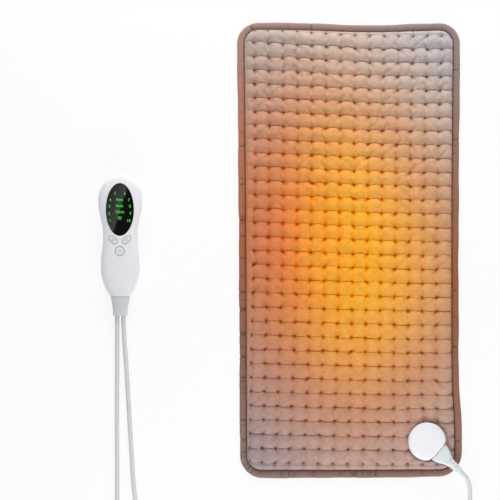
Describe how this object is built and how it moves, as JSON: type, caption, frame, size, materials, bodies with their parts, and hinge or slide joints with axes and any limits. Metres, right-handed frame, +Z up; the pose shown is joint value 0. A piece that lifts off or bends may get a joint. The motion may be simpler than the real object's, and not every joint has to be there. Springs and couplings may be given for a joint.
{
  "type": "heating pad with controller",
  "caption": "Quilted cloth heating pad with a bound edge and corner socket, its cord plugged into it, a hand controller with an oval display window and push buttons, and a coiled mains lead.",
  "frame": {"origin": "centre of the pad's underside, on the surface that it lies on", "axes": "+Z up out of the pad's quilted face, +Y along its long side, away from the corner socket, +X across it towards the socket's side"},
  "size_m": [0.4938, 0.7979, 0.0271],
  "materials": {
    "cover_cloth": "soft brushed polyester plush, quilted",
    "padding_wadding": "bonded polyester wadding",
    "wire_silicone": "smooth silicone insulation",
    "lining_cloth": "non-woven lining",
    "back_cloth": "plain brushed polyester",
    "binding_cloth": "ribbed satin binding tape",
    "white_plastic": "moulded ABS with a soft sheen",
    "button_plastic": "moulded ABS with a soft sheen",
    "plug_plastic": "moulded PVC, smooth",
    "inner_plastic": "moulded, plain",
    "window_black": "smoked acrylic, polished",
    "legend_green": "backlit printed film",
    "board_green": "solder-masked glass fibre board",
    "black_plastic": "moulded epoxy",
    "capacitor_yellow": "dipped box",
    "contact_brass": "turned, plain",
    "plated_steel": "zinc or nickel plated",
    "cord_pvc": "extruded PVC, satin",
    "tie_cloth": "woven hook-and-loop strap"
  },
  "bodies": {
    "pad": {"front_cover": "cover_cloth", "padding_layer": "padding_wadding", "heating_wire": "wire_silicone", "carrier_fabric": "lining_cloth", "insulation_felt": "lining_cloth", "back_cover": "back_cloth", "edge_binding": "binding_cloth", "thermal_cutout": "black_plastic", "thermal_fuse": "plated_steel", "socket_base": "white_plastic", "socket_cover": "white_plastic", "socket_back_plate": "inner_plastic", "socket_screw_1": "plated_steel", "socket_screw_2": "plated_steel", "socket_pin_1": "contact_brass", "socket_pin_2": "contact_brass", "socket_pin_3": "contact_brass"},
    "control_set": {"connector_plug": "plug_plastic", "connector_relief": "cord_pvc", "plug_contact_1": "contact_brass", "plug_contact_2": "contact_brass", "plug_contact_3": "contact_brass", "pad_cord": "cord_pvc", "mains_cord_lead": "cord_pvc", "mains_cord_coil": "cord_pvc", "mains_cord_tail": "cord_pvc", "cord_tie": "tie_cloth", "mains_plug": "white_plastic", "mains_relief": "cord_pvc", "mains_blade_live": "plated_steel", "mains_blade_neutral": "plated_steel", "front_housing": "white_plastic", "rear_housing": "white_plastic", "housing_screw_1": "plated_steel", "housing_screw_2": "plated_steel", "housing_screw_3": "plated_steel", "display_window": "window_black", "legend_film": "legend_green", "led_display": "inner_plastic", "main_board": "board_green", "control_chip": "black_plastic", "film_capacitor": "capacitor_yellow", "can_capacitor": "black_plastic", "power_triac": "black_plastic", "level_switch": "black_plastic", "timer_switch": "black_plastic", "power_switch": "black_plastic", "cord_collar": "white_plastic", "cord_clamp": "inner_plastic", "clamp_screw_1": "plated_steel", "clamp_screw_2": "plated_steel"},
    "level_key": {"level_button": "button_plastic", "level_plunger": "inner_plastic"},
    "timer_key": {"timer_button": "button_plastic", "timer_plunger": "inner_plastic"},
    "power_key": {"power_button": "button_plastic", "power_plunger": "inner_plastic"}
  },
  "joints": [
    {"name": "connector_pull", "type": "slide", "parent": "pad", "child": "control_set", "axis": [0.7431, -0.6691, 0], "range_m": [0, 0.018]},
    {"name": "level_press", "type": "slide", "parent": "control_set", "child": "level_key", "axis": [0, 0, -1], "range_m": [0, 0.0005], "stiffness_N_per_m": 2000, "springref_m": -0.0003},
    {"name": "timer_press", "type": "slide", "parent": "control_set", "child": "timer_key", "axis": [0, 0, -1], "range_m": [0, 0.0005], "stiffness_N_per_m": 2000, "springref_m": -0.0003},
    {"name": "power_press", "type": "slide", "parent": "control_set", "child": "power_key", "axis": [0, 0, -1], "range_m": [0, 0.0005], "stiffness_N_per_m": 2000, "springref_m": -0.0003}
  ]
}
